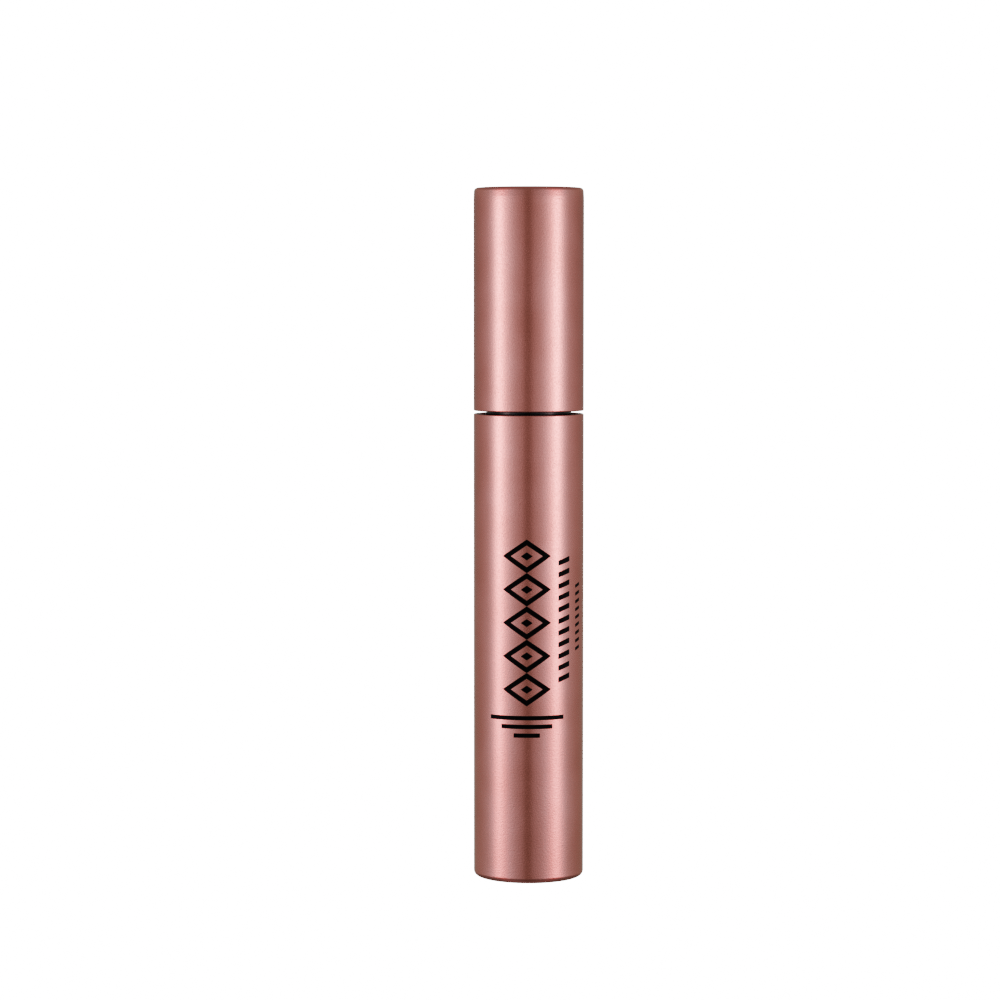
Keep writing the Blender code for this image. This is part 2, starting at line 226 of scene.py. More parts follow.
def tinted_satin_lacquer():
    """Vacuum-metallised ABS under a rose-tinted satin lacquer.

    It is a metal to the eye, coloured by the lacquer over it: soft wide highlights with the fine
    sparkle of the flake, a little cloudiness in the tint, and faint lines round the tube, strongest
    close to the base, where the part was held as it was sprayed.
    """
    material, tree, place = start_material("tinted_satin_lacquer_on_metallised_abs")
    cloud = add_node(tree, "TexNoise", {"Vector": place, "Scale": 1 / 9.0})
    cloud = add_node(tree, "MapRange", {"Value": cloud, "From Min": 0.35, "From Max": 0.65})
    tint = add_node(tree, "Mix", {
        "Factor": cloud, 6: linear(ROSE_LACQUER), 7: linear(ROSE_LACQUER_DEEP)}, data_type="RGBA")
    # The real flake is about 0.03 mm, too fine to show, so its grain is drawn at 0.22 mm.
    flake = add_node(tree, "TexNoise", {"Vector": place, "Scale": 1 / 0.22, "Detail": 1.0})
    rough = add_node(tree, "MapRange", {
        "Value": flake, "From Min": 0.3, "From Max": 0.7, "To Min": 0.137, "To Max": 0.278})
    # The lines are 0.22 mm apart and run a thirtieth as fast round the tube as along it.
    along_tube = add_node(tree, "Mapping", {"Vector": place, "Scale": (0.15, 0.15, 1 / 0.22)})
    lines = add_node(tree, "TexNoise", {"Vector": along_tube, "Scale": 1.0, "Detail": 3.0})
    height = add_node(tree, "SeparateXYZ", {0: place}).outputs["Z"]
    near_base = add_node(tree, "MapRange", {
        "Value": height, "From Min": 4.0, "From Max": 13.0, "To Min": 0.1, "To Max": 0.042})
    line_relief = add_node(tree, "Math", {0: lines, 1: near_base}, operation="MULTIPLY")
    relief = add_node(tree, "Math", {0: flake, 1: line_relief}, operation="ADD")
    bump = add_node(tree, "Bump", {"Height": relief, "Distance": 0.013 * MM})
    surface = add_node(tree, "BsdfPrincipled", {
        "Base Color": tint.outputs[2], "Specular Tint": linear(ROSE_AT_THE_RIM), "Metallic": 1.0,
        "Roughness": rough, "Normal": bump,
        "Coat Weight": 1.0, "Coat Roughness": 0.2, "Coat IOR": 1.5})
    add_node(tree, "OutputMaterial", {"Surface": surface})
    return material


def bare_metallising():
    """The same metallised plastic where the lacquer stops: thin bright aluminium on a moulded edge,
    silvery with a slight violet cast, and a little uneven."""
    material, tree, place = start_material("bare_metallised_edge")
    wear = add_node(tree, "TexNoise", {"Vector": place, "Scale": 1 / 0.5, "Detail": 4.0})
    rough = add_node(tree, "MapRange", {
        "Value": wear, "From Min": 0.3, "From Max": 0.7, "To Min": 0.2, "To Max": 0.38})
    bump = add_node(tree, "Bump", {"Height": wear, "Distance": 0.004 * MM})
    surface = add_node(tree, "BsdfPrincipled", {
        "Base Color": linear(BARE_METALLISING), "Metallic": 1.0, "Roughness": rough, "Normal": bump})
    add_node(tree, "OutputMaterial", {"Surface": surface})
    return material


lacquer = tinted_satin_lacquer()
bare_edge = bare_metallising()

points, faces = turned(rounded([
    (0, BASE_THICKNESS, 0),
    (SHELL_BORE, BASE_THICKNESS, 0.5),
    (SHELL_BORE, BOTTLE_TOP, MOUTH_EDGE),
    (TUBE_RADIUS, BOTTLE_TOP, MOUTH_EDGE),
    (TUBE_RADIUS, 0, BASE_EDGE),
    (RECESS_RADIUS, 0, 0.12),
    (RECESS_RADIUS, RECESS_DEPTH, 0.1),
    (0, RECESS_DEPTH, 0),
]))
bottle = new_piece("lacquered_bottle_shell", points, faces, "bottle")
bottle.data.materials.append(lacquer)
bottle.data.materials.append(bare_edge)
radius, height = face_places(bottle)
on_lip = (height > BOTTLE_TOP - BARE_LIP_DEPTH) & (radius < TUBE_RADIUS - LACQUER_OVER_LIP)
bottle.data.polygons.foreach_set("material_index", on_lip.astype(np.int32))
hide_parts("bottle_shell")


# ---- Printed pattern ---------------------------------------------------------------------------
# One pass of black screen-printing ink on the lacquer, a film about 0.01 mm thick. The pattern is
# plain geometry: a column of lozenges, two rows of dashes beside it and three bars under it.

INK = "#141011"
FILM_PROUD = 0.012
FILM_SUNK = 0.03


def ink_bars(bars, across=5, along=32):
    """Points and faces of thin closed slabs that follow the round tube, in mm.

    A bar has four corners (u, v): u is the arc length round the tube from its front line, and v is
    the height. A point of it is the mean of the corners weighted by its shares s and t of the way
    across and along. Its cross-section is a loop, out along the top of the film and back under it,
    and a point at u lies at angle u / radius from the front line.
    """
    s = np.concatenate((np.linspace(0, 1, across), np.linspace(1, 0, across)))
    layer = TUBE_RADIUS + np.repeat((FILM_PROUD, -FILM_SUNK), across)
    t = np.linspace(0, 1, along)[:, None]
    points, faces = [], []
    for a, b, c, d in np.array(bars, float):
        start = a + s[:, None] * (b - a)
        end = d + s[:, None] * (c - d)
        u, v = np.moveaxis(start + t[:, :, None] * (end - start), -1, 0)
        angle = u / TUBE_RADIUS
        first = len(points) * along * len(s)
        points.append(np.stack((layer * np.sin(angle), -layer * np.cos(angle), v), axis=-1))
        ring = first + np.arange(along * len(s)).reshape(along, len(s))
        beside = np.roll(ring, -1, axis=1)
        sides = np.stack((ring[:-1], beside[:-1], beside[1:], ring[1:]), axis=-1)
        faces += sides.reshape(-1, 4).tolist()
        faces += [ring[0, ::-1].tolist(), ring[-1].tolist()]
    return np.concatenate(points).reshape(-1, 3), faces


def lozenge(u, v, half_width, half_height, stroke=None):
    """Four bars that make the outline of a lozenge, or one solid bar where there is no stroke.

    The inner outline is the outer one shrunk by stroke over the middle's distance from a side,
    which is width * height / hypot(width, height) of the two half sizes.
    """
    tips = np.array(((half_width, 0), (0, half_height), (-half_width, 0), (0, -half_height)))
    outer = tips + (u, v)
    if stroke is None:
        return [outer]
    inset = stroke * math.hypot(half_width, half_height) / (half_width * half_height)
    inner = tips * (1 - inset) + (u, v)
    return [(outer[i - 1], inner[i - 1], inner[i], outer[i]) for i in range(4)]


def dash(u, v, width, thickness, slant=0.0):
    """One short bar across the tube, with its right end raised by slant."""
    half, left, right = thickness / 2, u - width / 2, u + width / 2
    raised = v + slant
    return [((left, v - half), (left, v + half), (right, raised + half), (right, raised - half))]


def printing_ink():
    """Matte black screen-printing ink: a thin film with a slight tooth from the mesh it was pressed
    through, so it is dull beside the lacquer."""
    material, tree, place = start_material("black_screen_printing_ink")
    # The screen's mesh is about 0.08 mm, drawn at 0.12 mm so that it shows.
    tooth = add_node(tree, "TexNoise", {"Vector": place, "Scale": 1 / 0.12, "Detail": 1.0})
    rough = add_node(tree, "MapRange", {
        "Value": tooth, "From Min": 0.3, "From Max": 0.7, "To Min": 0.42, "To Max": 0.6})
    bump = add_node(tree, "Bump", {"Height": tooth, "Distance": 0.002 * MM})
    surface = add_node(tree, "BsdfPrincipled", {
        "Base Color": linear(INK), "Specular IOR Level": 0.35, "Roughness": rough, "Normal": bump})
    add_node(tree, "OutputMaterial", {"Surface": surface})
    return material


LOZENGES = 5
LOZENGE_PITCH = 5.7
LOZENGE_HALF_SIZE = (4.2, 2.85)
LOZENGE_STROKE = 0.8
SEED_HALF_SIZE = (1.0, 0.68)
COLUMN_CENTRE = -0.4
COLUMN_FOOT = 33.5
# A row of dashes: its u, its foot, pitch and count, and a dash's width, thickness and slant.
DASH_ROWS = ((6.5, 35.0, 2.0, 11, 2.4, 0.85, 0.7), (10.1, 40.0, 1.35, 9, 1.3, 0.5, 0.4))
# The bars under the column: width and height above the base.
FOOT_BARS = ((13.5, 28.6), (9.0, 27.1), (4.5, 25.6))
FOOT_BAR_THICKNESS = 0.7

bars = []
for k in range(LOZENGES):
    middle = COLUMN_FOOT + k * LOZENGE_PITCH
    bars += lozenge(COLUMN_CENTRE, middle, *LOZENGE_HALF_SIZE, stroke=LOZENGE_STROKE)
    bars += lozenge(COLUMN_CENTRE, middle, *SEED_HALF_SIZE)
for u, foot, pitch, count, width, thickness, slant in DASH_ROWS:
    for k in range(count):
        bars += dash(u, foot + k * pitch, width, thickness, slant)
for width, v in FOOT_BARS:
    bars += dash(COLUMN_CENTRE, v, width, FOOT_BAR_THICKNESS)
points, faces = ink_bars(bars)
pattern = new_piece("printed_pattern", points, faces, "bottle", sharp=math.radians(60))
pattern.data.materials.append(printing_ink())


# ---- Base label --------------------------------------------------------------------------------
# A plain round label of satin white polypropylene film, die cut and pressed by hand into the recess
# of the base, where it stays clear of what the tube stands on. It carries no print.

LABEL_FILM = "#d9d2d0"
LABEL_FILM_MOTTLED = "#cbc4c3"

label_low, label_high = node_box("base_label")


def satin_label_film():
    """Satin polypropylene film: nearly white, even, with the faint mottle of the adhesive below."""
    material, tree, place = start_material("satin_label_film")
    mottle = add_node(tree, "TexNoise", {"Vector": place, "Scale": 1 / 0.7, "Detail": 4.0})
    tint = add_node(tree, "Mix", {
        "Factor": mottle, 6: linear(LABEL_FILM), 7: linear(LABEL_FILM_MOTTLED)}, data_type="RGBA")
    bump = add_node(tree, "Bump", {"Height": mottle, "Distance": 0.003 * MM})
    surface = add_node(tree, "BsdfPrincipled", {
        "Base Color": tint.outputs[2], "Roughness": 0.42, "Normal": bump})
    add_node(tree, "OutputMaterial", {"Surface": surface})
    return material


points, faces = turned(rounded([
    (0, label_high.z, 0),
    (label_high.x, label_high.z, 0.03),
    (label_high.x, label_low.z, 0.03),
    (0, label_low.z, 0),
]))
label = new_piece("round_base_label", points, faces, "bottle")
label.data.materials.append(satin_label_film())
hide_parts("base_label")


# ---- Inner vial --------------------------------------------------------------------------------
# The vial that holds the paste, injection-blown in black polypropylene. Its shoulder closes in to
# a neck with one and a half turns of thread, rounded at the crest and run out at both ends.

BLACK_PLASTIC = "#191819"
BLACK_PLASTIC_WORN = "#262426"
VIAL_WALL = 1.0
SHOULDER_BELOW_MOUTH = 1.45
NECK_RADIUS = 5.8
NECK_BORE = 4.65
THREAD_PITCH = 2.5
THREAD_TURNS = 1.5
THREAD_ABOVE_MOUTH = 7.0
THREAD_HEIGHT = 0.65
THREAD_HALF_WIDTH = 0.62
THREAD_MARGIN = 0.8

vial_low, vial_high = node_box("inner_vial")
shoulder_top = BOTTLE_TOP - SHOULDER_BELOW_MOUTH
thread_start = BOTTLE_TOP + THREAD_ABOVE_MOUTH


def thread_swell(start, turns, pitch, height, half_width, surface_radius):
    """A thread as a swell of a turned surface, for every angle and height at once.

    The ridge's centre is at start + pitch * w, where w counts the turns made. Its section is the
    half wave (1 + cos(pi d / half_width)) / 2 of the distance d from that centre, made blunter by
    a square root, and it grows from nothing over the first and last twelfth of a turn.
    """
    def swell(angle, radius, level):
        ridge = np.zeros(np.broadcast_shapes(angle.shape, level.shape))
        for whole in range(math.ceil(turns) + 1):
            turn = angle / FULL_TURN + whole
            distance = np.abs(level - start - pitch * turn) / half_width
            section = np.sqrt((1 + np.cos(math.pi * np.clip(distance, 0, 1))) / 2)
            run_out = np.clip(np.minimum(turn, turns - turn) * 12, 0, 1)
            ridge = np.maximum(ridge, section * run_out)
        return height * ridge * (np.abs(radius - surface_radius) < 0.02)
    return swell


def with_fine_run(outline, radius, low, high, spacing=0.09):
    """The outline with points every spacing mm on its straight run at that radius, from low to high,
    where a thread needs them."""
    run = np.flatnonzero(np.abs(outline[:, 0] - radius) < 0.001)
    levels = outline[run, 1]
    downwards = levels[0] > levels[-1]
    keep = run[(levels < low) | (levels > high)]
    fine = np.arange(low, high + spacing, spacing)
    fine = np.column_stack((np.full(len(fine), radius), fine))
    joined = np.concatenate((outline[keep], fine))
    joined = joined[np.argsort(-joined[:, 1] if downwards else joined[:, 1])]
    return np.concatenate((outline[:run[0]], joined, outline[run[-1] + 1:]))


def black_polypropylene(name, roughness, sheen_coat):
    """Moulded black polypropylene: a deep neutral black with a soft gloss, the slight orange peel
    of a polished mould, and a few paler rubbed spots. The slip agent that blooms to its surface
    reflects like a thin clear coat."""
    material, tree, place = start_material(name)
    rubbed = add_node(tree, "TexNoise", {"Vector": place, "Scale": 1 / 1.6, "Detail": 5.0})
    rubbed = add_node(tree, "MapRange", {"Value": rubbed, "From Min": 0.55, "From Max": 0.75})
    tint = add_node(tree, "Mix", {
        "Factor": rubbed, 6: linear(BLACK_PLASTIC), 7: linear(BLACK_PLASTIC_WORN)}, data_type="RGBA")
    rough = add_node(tree, "MapRange", {
        "Value": rubbed, "To Min": roughness, "To Max": roughness + 0.1})
    peel = add_node(tree, "TexNoise", {"Vector": place, "Scale": 1 / 0.45})
    bump = add_node(tree, "Bump", {"Height": peel, "Distance": 0.002 * MM})
    surface = add_node(tree, "BsdfPrincipled", {
        "Base Color": tint.outputs[2], "IOR": 1.49, "Roughness": rough, "Normal": bump,
        "Coat Weight": sheen_coat, "Coat Roughness": roughness, "Coat IOR": 1.7})
    add_node(tree, "OutputMaterial", {"Surface": surface})
    return material


moulded_black = black_polypropylene("moulded_black_polypropylene", 0.26, sheen_coat=0.6)
outline = rounded([
    (0, vial_low.z + VIAL_WALL, 0),
    (vial_high.x - VIAL_WALL, vial_low.z + VIAL_WALL, 1.2),
    (vial_high.x - VIAL_WALL, shoulder_top - VIAL_WALL, 0.8),
    (NECK_BORE, shoulder_top - VIAL_WALL, 0.5),
    (NECK_BORE, vial_high.z, 0.2),
    (NECK_RADIUS, vial_high.z, 0.25),
    (NECK_RADIUS, shoulder_top, 0.0),
    (vial_high.x, shoulder_top, 0.4),
    (vial_high.x, vial_low.z, 1.0),
    (0, vial_low.z, 0),
])
thread_top = thread_start + THREAD_PITCH * THREAD_TURNS
outline = with_fine_run(outline, NECK_RADIUS, thread_start - THREAD_MARGIN, thread_top + THREAD_MARGIN)
points, faces = turned(outline, sides=192, swell=thread_swell(
    thread_start, THREAD_TURNS, THREAD_PITCH, THREAD_HEIGHT, THREAD_HALF_WIDTH, NECK_RADIUS))
vial = new_piece("threaded_vial", points, faces, "bottle")
vial.data.materials.append(moulded_black)
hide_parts("inner_vial")


# ---- Neck collar -------------------------------------------------------------------------------
# A black polypropylene ring pressed into the mouth of the bottle. Its flange hides the joint
# between vial and shell, and its upstand is the black line seen between bottle and cap.

UPSTAND_RADIUS = 7.3
FLANGE_BELOW_MOUTH = 0.2

collar_low, collar_high = node_box("neck_collar")
flange_top = BOTTLE_TOP - FLANGE_BELOW_MOUTH
points, faces = turned(rounded([
    (NECK_RADIUS + FIT, collar_high.z, 0.15),
    (UPSTAND_RADIUS, collar_high.z, 0.25),
    (UPSTAND_RADIUS, flange_top, 0.1),
    (collar_high.x, flange_top, 0.12),
    (collar_high.x, collar_low.z, 0.12),
    (NECK_RADIUS + FIT, collar_low.z, 0.1),
], closed=True), closed=True)
collar = new_piece("mouth_collar", points, faces, "bottle")
collar.data.materials.append(moulded_black)
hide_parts("neck_collar")


# ---- Wiper -------------------------------------------------------------------------------------
# A soft black elastomer sleeve pushed into the neck. Its flange sits on the rim, and its cone
# narrows to a lip that strips the brush, so the lip and the throat carry a film of wet paste.

WIPER_BORE = 4.1
WIPER_WALL = 0.5
WIPER_FLANGE = 0.6
WIPER_CONE = 4.0
LIP_BORE = 2.83
LIP_WALL = 0.4
ELASTOMER = "#464348"

wiper_low, wiper_high = node_box("wiper")
flange_under = wiper_high.z - WIPER_FLANGE
cone_top = wiper_low.z + WIPER_CONE


def black_elastomer(name, gloss_low, gloss_high):
    """Moulded black thermoplastic elastomer: softer and duller than the plastic beside it, with a
    fine spark-eroded texture, and glossier where a film of paste has wet it."""
    material, tree, place = start_material(name)
    wet = add_node(tree, "TexNoise", {"Vector": place, "Scale": 1 / 1.1, "Detail": 4.0})
    wet = add_node(tree, "MapRange", {"Value": wet, "From Min": 0.42, "From Max": 0.6})
    tint = add_node(tree, "Mix", {
        "Factor": wet, 6: linear(ELASTOMER), 7: linear(BLACK_PLASTIC)}, data_type="RGBA")
    rough = add_node(tree, "MapRange", {"Value": wet, "To Min": gloss_high, "To Max": gloss_low})
    texture = add_node(tree, "TexNoise", {"Vector": place, "Scale": 1 / 0.2, "Detail": 3.0})
    bump = add_node(tree, "Bump", {"Height": texture, "Distance": 0.006 * MM})
    surface = add_node(tree, "BsdfPrincipled", {
        "Base Color": tint.outputs[2], "IOR": 1.5, "Roughness": rough, "Normal": bump,
        "Sheen Weight": 0.15, "Sheen Roughness": 0.5, "Coat Weight": 0.5, "Coat Roughness": gloss_low})
    add_node(tree, "OutputMaterial", {"Surface": surface})
    return material


points, faces = turned(rounded([
    (WIPER_BORE, wiper_high.z, 0.15),
    (wiper_high.x, wiper_high.z, 0.12),
    (wiper_high.x, flange_under, 0.12),
    (WIPER_BORE + WIPER_WALL, flange_under, 0.1),
    (WIPER_BORE + WIPER_WALL, cone_top, 0.5),
    (LIP_BORE + LIP_WALL, wiper_low.z, 0.12),
    (LIP_BORE, wiper_low.z, 0.12),
    (WIPER_BORE, cone_top, 0.5),
], closed=True), closed=True)
wiper = new_piece("wiper_sleeve", points, faces, "bottle")
wiper.data.materials.append(black_elastomer("paste_wet_elastomer", 0.16, 0.5))
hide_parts("wiper")


# ---- Paste -------------------------------------------------------------------------------------
# The mascara itself: a thick black emulsion of waxes and pigment. It clings to the vial's wall and
# keeps the channel that the brush has worn in it, with soft folds where it was dragged upwards.

PASTE_BLACK = "#3f3c41"
CHANNEL_RADIUS = 4.1
CHANNEL_BED = 1.8

paste_low, paste_high = node_box("mascara_paste")
channel_floor = paste_low.z + CHANNEL_BED


def wet_paste(name):
    """Thick wet paste: almost black, with the bright small glints of a soft lumpy surface."""
    material, tree, place = start_material(name)
    lumps = add_node(tree, "TexNoise", {"Vector": place, "Scale": 1 / 0.4, "Detail": 4.0})
    rough = add_node(tree, "MapRange", {
        "Value": lumps, "From Min": 0.35, "From Max": 0.65, "To Min": 0.2, "To Max": 0.42})
    bump = add_node(tree, "Bump", {"Height": lumps, "Distance": 0.05 * MM})
    surface = add_node(tree, "BsdfPrincipled", {
        "Base Color": linear(PASTE_BLACK), "IOR": 1.46, "Roughness": rough, "Normal": bump,
        "Coat Weight": 1.0, "Coat Roughness": 0.14, "Coat IOR": 1.75})
    add_node(tree, "OutputMaterial", {"Surface": surface})
    return material


def dragged_folds(angle, radius, level):
    """Soft folds in the paste, all of them inwards of the cut size: a sum of three waves of angle
    and height, strongest at the free surface and along the channel."""
    wave = np.sin(3 * angle + 0.35 * level) + np.sin(5 * angle - 0.6 * level + 1)
    wave = wave + np.sin(2 * angle + 1.1 * level + 2)
    inside = (radius < paste_high.x - 0.3) & (level > channel_floor)
    return np.where(inside, 0.05 * wave + 0.15, 0.0) * np.clip(radius / CHANNEL_RADIUS, 0, 1)


points, faces = turned(rounded([
    (0, channel_floor, 0),
    (CHANNEL_RADIUS, channel_floor, 0.8),
    (CHANNEL_RADIUS, paste_high.z, 1.0),
    (paste_high.x, paste_high.z, 0.4),
    (paste_high.x, paste_low.z, 0.9),
    (0, paste_low.z, 0),
]), swell=dragged_folds, sides=128)
wet_black_paste = wet_paste("wet_black_paste")
fill = new_piece("paste_fill", points, faces, "bottle")
fill.data.materials.append(wet_black_paste)
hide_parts("mascara_paste")


# ---- Seal washer -------------------------------------------------------------------------------
# A loose ring punched from pale closed-cell polyethylene foam. The inner cap presses it on the
# wiper's flange, and it keeps the paste from drying.

FOAM = "#e6e3dd"
FOAM_SHADE = "#d3cfc8"
WASHER_BORE = 2.925

washer_low, washer_high = node_box("seal_washer")


def closed_cell_foam():
    """Closed-cell polyethylene foam: pale and matte, its skin dimpled by cells 0.2 mm across."""
    material, tree, place = start_material("closed_cell_foam")
    cells = add_node(tree, "TexVoronoi", {"Vector": place, "Scale": 1 / 0.2})
    tint = add_node(tree, "Mix", {
        "Factor": cells, 6: linear(FOAM), 7: linear(FOAM_SHADE)}, data_type="RGBA")
    bump = add_node(tree, "Bump", {"Height": cells, "Distance": 0.03 * MM})
    surface = add_node(tree, "BsdfPrincipled", {
        "Base Color": tint.outputs[2], "IOR": 1.45, "Roughness": 0.75, "Normal": bump})
    add_node(tree, "OutputMaterial", {"Surface": surface})
    return material


points, faces = turned(rounded([
    (WASHER_BORE, washer_high.z, 0.06),
    (washer_high.x, washer_high.z, 0.12),
    (washer_high.x, washer_low.z, 0.12),
    (WASHER_BORE, washer_low.z, 0.06),
], closed=True), closed=True)
washer = new_piece("foam_washer", points, faces, "seal")
washer.data.materials.append(closed_cell_foam())
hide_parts("seal_washer")


# ---- Cap shell ---------------------------------------------------------------------------------
# The outer shell of the cap, moulded, metallised and lacquered with the bottle and in line with
# it. The side leans in a touch before its flat top, and the thin lip of its mouth is left bare.

CAP_TOP_THICKNESS = 1.3
CAP_TOP_EDGE = 0.65
TOP_LEAN = 0.1
TOP_LEAN_LENGTH = 1.6

cap_low, cap_high = node_box("cap_shell")
cap_ceiling = cap_high.z - CAP_TOP_THICKNESS
points, faces = turned(rounded([
    (0, cap_high.z, 0),
    (cap_high.x - TOP_LEAN, cap_high.z, CAP_TOP_EDGE),
    (cap_high.x, cap_high.z - TOP_LEAN_LENGTH, 20.0),
    (cap_high.x, cap_low.z, MOUTH_EDGE),
    (SHELL_BORE, cap_low.z, MOUTH_EDGE),
    (SHELL_BORE, cap_ceiling, 0.5),
    (0, cap_ceiling, 0),
]))
cap = new_piece("lacquered_cap_shell", points, faces, "applicator")
cap.data.materials.append(lacquer)
cap.data.materials.append(bare_edge)
radius, height = face_places(cap)
on_lip = (height < cap_low.z + BARE_LIP_DEPTH) & (radius < TUBE_RADIUS - LACQUER_OVER_LIP)
cap.data.polygons.foreach_set("material_index", on_lip.astype(np.int32))
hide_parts("cap_shell")


# ---- Inner cap ---------------------------------------------------------------------------------
# The working part of the cap, moulded in black polypropylene and pressed into the shell. Below
# its web is the bore with the thread, and above it a boss, held by four ribs, grips the rod.

INNER_CAP_BORE = 6.95
INNER_THREAD_HEIGHT = 0.35
INNER_THREAD_HALF_WIDTH = 0.5
INNER_THREAD_MARGIN = 0.6
WEB_THICKNESS = 1.5
WALL_ABOVE_WEB = 12.0
BOSS_WALL = 1.6
RIB_COUNT = 4
RIB_THICKNESS = 1.0
ROD_RADIUS = 2.775

inner_low, inner_high = node_box("inner_cap")
rod_low, rod_high = node_box("wand_rod")
rod_hole = ROD_RADIUS + FIT
web_under = washer_high.z + FIT
web_top = web_under + WEB_THICKNESS
wall_top = web_top + WALL_ABOVE_WEB
inner_thread_start = thread_start - THREAD_PITCH / 2


def ribs(count, inner, outer, low, high, thickness, first_angle):
    """Points and faces of flat upright ribs between the boss and the wall: a rib is a box whose
    corner is inner or outer mm along its own direction and half a thickness to either side."""
    along, side, level = np.meshgrid(
        (inner, outer), (-thickness / 2, thickness / 2), (low, high), indexing="ij")
    corner_faces = np.array((
        (0, 1, 3, 2), (4, 6, 7, 5), (0, 4, 5, 1), (2, 3, 7, 6), (0, 2, 6, 4), (1, 5, 7, 3)))
    angle = first_angle + np.arange(count)[:, None] * FULL_TURN / count
    along, side, level = along.ravel(), side.ravel(), level.ravel()
    x = along * np.cos(angle) - side * np.sin(angle)
    y = along * np.sin(angle) + side * np.cos(angle)
    points = np.stack(np.broadcast_arrays(x, y, level), axis=-1).reshape(-1, 3)
    faces = (corner_faces + 8 * np.arange(count)[:, None, None]).reshape(-1, 4)
    return points, faces


outline = rounded([
    (0, inner_high.z, 0),
    (rod_hole + BOSS_WALL, inner_high.z, 0.3),
    (rod_hole + BOSS_WALL, web_top, 0.2),
    (INNER_CAP_BORE, web_top, 0.2),
    (INNER_CAP_BORE, wall_top, 0.1),
    (inner_high.x, wall_top, 0.25),
    (inner_high.x, inner_low.z, 0.25),
    (INNER_CAP_BORE, inner_low.z, 0.2),
    (INNER_CAP_BORE, web_under, 0.3),
    (rod_hole, web_under, 0.15),
    (rod_hole, rod_high.z + FIT, 0.3),
    (0, rod_high.z + FIT, 0),
])
inner_thread = thread_swell(
    inner_thread_start, THREAD_TURNS, THREAD_PITCH, -INNER_THREAD_HEIGHT, INNER_THREAD_HALF_WIDTH,
    INNER_CAP_BORE)
below_web = np.flatnonzero(outline[:, 1] <= inner_low.z)[-1]
head, skirt = outline[:below_web + 1], outline[below_web + 1:]
thread_top = inner_thread_start + THREAD_PITCH * THREAD_TURNS
skirt = with_fine_run(
    skirt, INNER_CAP_BORE, inner_thread_start - INNER_THREAD_MARGIN,
    thread_top + INNER_THREAD_MARGIN, spacing=0.12)
points, faces = turned(np.concatenate((head, skirt)), swell=inner_thread, sides=192)
rib_points, rib_faces = ribs(
    RIB_COUNT, rod_hole + BOSS_WALL - FIT, INNER_CAP_BORE + FIT, web_top - FIT, wall_top - FIT,
    RIB_THICKNESS, first_angle=FULL_TURN / 8)
faces += (rib_faces + len(points)).tolist()
inner_cap = new_piece("threaded_inner_cap", np.concatenate((points, rib_points)), faces, "applicator")
inner_cap.data.materials.append(moulded_black)
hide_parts("inner_cap")


# ---- Wand rod ----------------------------------------------------------------------------------
# The straight rod of the wand, moulded in glossy black polypropylene. A low bead near its top
# snaps into the boss of the inner cap, and a socket in its lower end takes the brush.

BEAD_BELOW_TOP = 2.4
BEAD_HEIGHT = 0.2
BEAD_HALF_WIDTH = 0.7
BEAD_MARGIN = 0.9
SOCKET_RADIUS = 1.6
SOCKET_DEPTH = 8.0

bead_level = rod_high.z - BEAD_BELOW_TOP


def bead(angle, radius, level):
    """A low ring round the rod: half a cosine wave of height about the bead's level."""
    distance = np.clip(np.abs(level - bead_level) / BEAD_HALF_WIDTH, 0, 1)
    rise = BEAD_HEIGHT * (1 + np.cos(math.pi * distance)) / 2
    return rise * (np.abs(radius - ROD_RADIUS) < 0.02) + 0 * angle


outline = rounded([
    (0, rod_high.z, 0),
    (ROD_RADIUS, rod_high.z, 0.35),
    (ROD_RADIUS, rod_low.z, 0.35),
    (SOCKET_RADIUS, rod_low.z, 0.08),
    (SOCKET_RADIUS, rod_low.z + SOCKET_DEPTH, 0.15),
    (0, rod_low.z + SOCKET_DEPTH, 0),
])
outline = with_fine_run(outline, ROD_RADIUS, bead_level - BEAD_MARGIN, bead_level + BEAD_MARGIN)
points, faces = turned(outline, swell=bead, sides=160)
rod = new_piece("glossy_wand_rod", points, faces, "applicator")
rod.data.materials.append(black_polypropylene("glossy_black_polypropylene", 0.13, sheen_coat=1.0))
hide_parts("wand_rod")


# ---- Brush core --------------------------------------------------------------------------------
# The stem of the moulded brush. Its plug is pushed into the rod's socket, its neck shows between
# rod and bristles, and its thin spine runs down the middle of the bristle sleeve.

NECK_OF_BRUSH = 2.2
SPINE_RADIUS = 1.0

core_low, core_high = node_box("brush_core")
sleeve_low, sleeve_high = node_box("bristle_sleeve")
neck_foot = sleeve_high.z + FIT
neck_head = rod_low.z - FIT
points, faces = turned(rounded([
    (0, core_high.z, 0),
    (SOCKET_RADIUS - FIT, core_high.z, 0.3),
    (SOCKET_RADIUS - FIT, neck_head, 0.05),
    (NECK_OF_BRUSH, neck_head, 0.2),
    (NECK_OF_BRUSH, neck_foot, 0.1),
    (SPINE_RADIUS, neck_foot, 0.08),
    (SPINE_RADIUS, core_low.z, 0.3),
    (0, core_low.z, 0),
]), sides=96)
core = new_piece("brush_stem", points, faces, "applicator")
core.data.materials.append(moulded_black)
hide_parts("brush_core")


# ---- Bristles ----------------------------------------------------------------------------------
# The bristles are tapered fingers moulded in one piece with their sleeve, in a stiff black
# elastomer: straight rows along the brush, level with each other. Use has bent a few of them,
# and beads of paste have dried on their tips.

BRISTLE_ROWS = 22
BRISTLE_PITCH = 0.59
BRISTLE_FOOT = 2.1
BRISTLE_TIP = 3.78
BRISTLE_LONGEST = 3.88
BRISTLE_ROOT_RADIUS = 0.17
BRISTLE_END_RADIUS = 0.1
FIRST_BRISTLE = 0.4
LAST_BRISTLE = 0.2
END_MARGIN = 0.15
SLEEVE_RADIUS = 2.2
SLEEVE_TIP_THICKNESS = 0.9

BRUSH_LOW = sleeve_low.z
BRUSH_HIGH = sleeve_high.z
random = np.random.default_rng(7)


